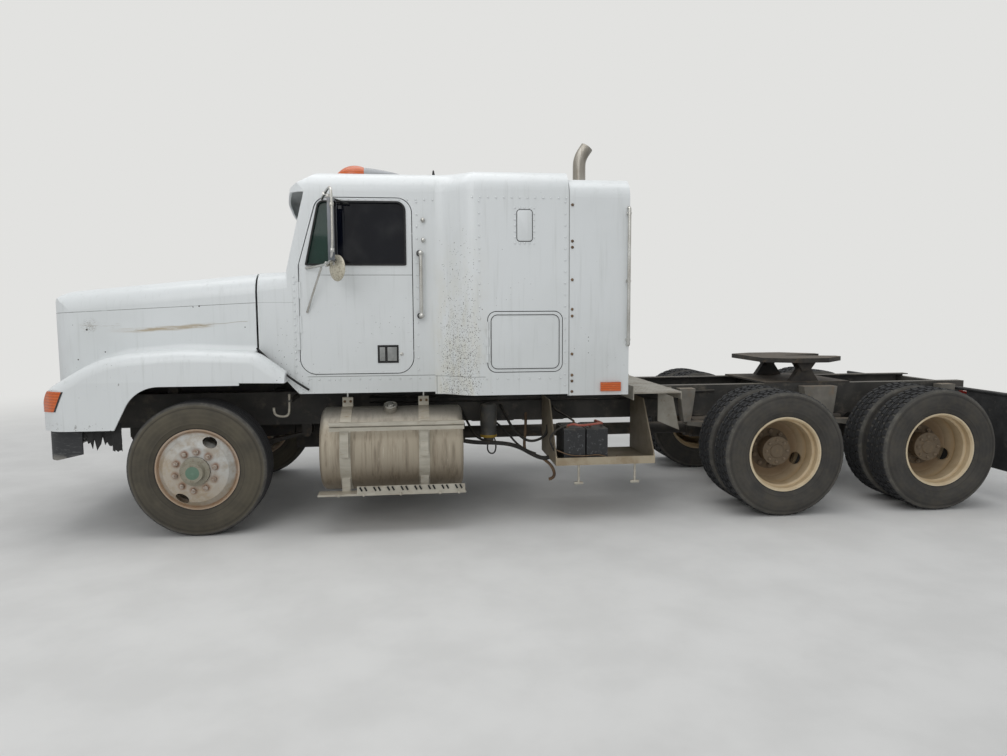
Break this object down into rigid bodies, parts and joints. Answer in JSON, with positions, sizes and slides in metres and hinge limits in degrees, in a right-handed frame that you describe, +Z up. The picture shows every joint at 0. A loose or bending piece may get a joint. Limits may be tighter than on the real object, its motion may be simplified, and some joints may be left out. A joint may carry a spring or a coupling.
{
  "type": "conventional sleeper semi truck tractor unit",
  "caption": "Long-nosed sleeper tractor unit with a tilting hood, opening doors, steered front wheels, twin driven rear axles and a tilting fifth wheel.",
  "frame": {"origin": "centre of the overall box at ground level", "axes": "+X to the rear, +Y to the vehicle's right, +Z up; the truck faces -X"},
  "size_m": [7.78, 2.77, 3.3006],
  "materials": {
    "frame_rails": "worn",
    "crossmembers": "worn",
    "front_bumper": "worn",
    "engine": "worn",
    "front_axle": "worn",
    "drive_axles": "worn",
    "rear_suspension": "worn",
    "driveshafts": "worn",
    "cab_shell": "worn",
    "roof_caps": "worn",
    "sun_visor": "worn",
    "windshield": "worn",
    "sleeper_shell": "worn",
    "side_extenders": "worn",
    "dashboard": "worn",
    "seats": "worn",
    "fuel_tanks": "worn",
    "tank_steps": "worn",
    "battery_box": "worn",
    "deck_plate": "worn",
    "fifth_wheel_base": "worn",
    "fifth_wheel_plate": "worn",
    "exhaust_stack": "worn",
    "grab_rails": "worn",
    "lamps": "worn",
    "mud_flaps": "worn",
    "air_tanks": "worn",
    "hood": "worn",
    "grille": "worn",
    "hood_lamps": "worn",
    "tie_rod": "worn",
    "door_left": "worn",
    "door_right": "worn",
    "door_glass_left": "worn",
    "door_glass_right": "worn",
    "mirror_left": "worn",
    "mirror_right": "worn",
    "luggage_door_left": "worn",
    "luggage_door_right": "worn",
    "knuckle_left": "worn",
    "knuckle_right": "worn",
    "front_wheel_left": "worn",
    "front_tyre_left": "worn",
    "drive_wheel_1_left": "worn",
    "drive_tyres_1_left": "worn",
    "drive_wheel_2_left": "worn",
    "drive_tyres_2_left": "worn",
    "front_wheel_right": "worn",
    "front_tyre_right": "worn",
    "drive_wheel_1_right": "worn",
    "drive_tyres_1_right": "worn",
    "drive_wheel_2_right": "worn",
    "drive_tyres_2_right": "worn"
  },
  "bodies": {
    "chassis": {"frame_rails": "frame_rails", "crossmembers": "crossmembers", "front_bumper": "front_bumper", "engine": "engine", "front_axle": "front_axle", "drive_axles": "drive_axles", "rear_suspension": "rear_suspension", "driveshafts": "driveshafts", "cab_shell": "cab_shell", "roof_caps": "roof_caps", "sun_visor": "sun_visor", "windshield": "windshield", "sleeper_shell": "sleeper_shell", "side_extenders": "side_extenders", "dashboard": "dashboard", "seats": "seats", "fuel_tanks": "fuel_tanks", "tank_steps": "tank_steps", "battery_box": "battery_box", "deck_plate": "deck_plate", "fifth_wheel_base": "fifth_wheel_base", "exhaust_stack": "exhaust_stack", "grab_rails": "grab_rails", "lamps": "lamps", "mud_flaps": "mud_flaps", "air_tanks": "air_tanks"},
    "hood": {"hood": "hood", "grille": "grille", "hood_lamps": "hood_lamps"},
    "tie_rod": {"tie_rod": "tie_rod"},
    "fifth_wheel": {"fifth_wheel_plate": "fifth_wheel_plate"},
    "door_left": {"door_left": "door_left", "door_glass_left": "door_glass_left", "mirror_left": "mirror_left"},
    "luggage_door_left": {"luggage_door_left": "luggage_door_left"},
    "knuckle_left": {"knuckle_left": "knuckle_left"},
    "front_wheel_left": {"front_wheel_left": "front_wheel_left", "front_tyre_left": "front_tyre_left"},
    "drive_wheels_1_left": {"drive_wheel_1_left": "drive_wheel_1_left", "drive_tyres_1_left": "drive_tyres_1_left"},
    "drive_wheels_2_left": {"drive_wheel_2_left": "drive_wheel_2_left", "drive_tyres_2_left": "drive_tyres_2_left"},
    "door_right": {"door_right": "door_right", "door_glass_right": "door_glass_right", "mirror_right": "mirror_right"},
    "luggage_door_right": {"luggage_door_right": "luggage_door_right"},
    "knuckle_right": {"knuckle_right": "knuckle_right"},
    "front_wheel_right": {"front_wheel_right": "front_wheel_right", "front_tyre_right": "front_tyre_right"},
    "drive_wheels_1_right": {"drive_wheel_1_right": "drive_wheel_1_right", "drive_tyres_1_right": "drive_tyres_1_right"},
    "drive_wheels_2_right": {"drive_wheel_2_right": "drive_wheel_2_right", "drive_tyres_2_right": "drive_tyres_2_right"}
  },
  "joints": [
    {"name": "hood_tilt", "type": "hinge", "parent": "chassis", "child": "hood", "pos_m": [-3.8, 0, 0.845], "axis": [0, -1, 0], "range_deg": [0, 75]},
    {"name": "fifth_wheel_tilt", "type": "hinge", "parent": "chassis", "child": "fifth_wheel", "pos_m": [2.37, 0, 1.12], "axis": [0, 1, 0], "range_deg": [-12, 12]},
    {"name": "steer_left", "type": "hinge", "parent": "chassis", "child": "knuckle_left", "pos_m": [-2.71, -0.88, 0.499], "axis": [0, 0, 1], "range_deg": [-35, 35]},
    {"name": "steer_right", "type": "hinge", "parent": "chassis", "child": "knuckle_right", "pos_m": [-2.71, 0.88, 0.499], "axis": [0, 0, 1], "range_deg": [-35, 35]},
    {"name": "tie_rod_pivot", "type": "hinge", "parent": "knuckle_left", "child": "tie_rod", "pos_m": [-2.53, -0.88, 0.369], "axis": [0, 0, 1], "range_deg": [-35, 35]},
    {"name": "door_left_swing", "type": "hinge", "parent": "chassis", "child": "door_left", "pos_m": [-1.972, -1.0373, 1.6], "axis": [0, 0, -1], "range_deg": [0, 70]},
    {"name": "luggage_door_left_swing", "type": "hinge", "parent": "chassis", "child": "luggage_door_left", "pos_m": [-0.583, -1.1973, 1.4], "axis": [0, 0, -1], "range_deg": [0, 90]},
    {"name": "front_wheel_left_spin", "type": "hinge", "parent": "knuckle_left", "child": "front_wheel_left", "pos_m": [-2.71, -1.02, 0.499], "axis": [0, -1, 0], "continuous": true},
    {"name": "drive_wheels_1_left_spin", "type": "hinge", "parent": "chassis", "child": "drive_wheels_1_left", "pos_m": [1.777, -0.912, 0.499], "axis": [0, -1, 0], "continuous": true},
    {"name": "drive_wheels_2_left_spin", "type": "hinge", "parent": "chassis", "child": "drive_wheels_2_left", "pos_m": [3.098, -0.912, 0.499], "axis": [0, -1, 0], "continuous": true},
    {"name": "door_right_swing", "type": "hinge", "parent": "chassis", "child": "door_right", "pos_m": [-1.972, 1.0373, 1.6], "axis": [0, 0, 1], "range_deg": [0, 70]},
    {"name": "luggage_door_right_swing", "type": "hinge", "parent": "chassis", "child": "luggage_door_right", "pos_m": [-0.583, 1.1973, 1.4], "axis": [0, 0, 1], "range_deg": [0, 90]},
    {"name": "front_wheel_right_spin", "type": "hinge", "parent": "knuckle_right", "child": "front_wheel_right", "pos_m": [-2.71, 1.02, 0.499], "axis": [0, -1, 0], "continuous": true},
    {"name": "drive_wheels_1_right_spin", "type": "hinge", "parent": "chassis", "child": "drive_wheels_1_right", "pos_m": [1.777, 0.912, 0.499], "axis": [0, -1, 0], "continuous": true},
    {"name": "drive_wheels_2_right_spin", "type": "hinge", "parent": "chassis", "child": "drive_wheels_2_right", "pos_m": [3.098, 0.912, 0.499], "axis": [0, -1, 0], "continuous": true}
  ],
  "couplings": [
    {"joint": "steer_right", "follows": "steer_left", "ratio": 1},
    {"joint": "tie_rod_pivot", "follows": "steer_left", "ratio": -1}
  ]
}
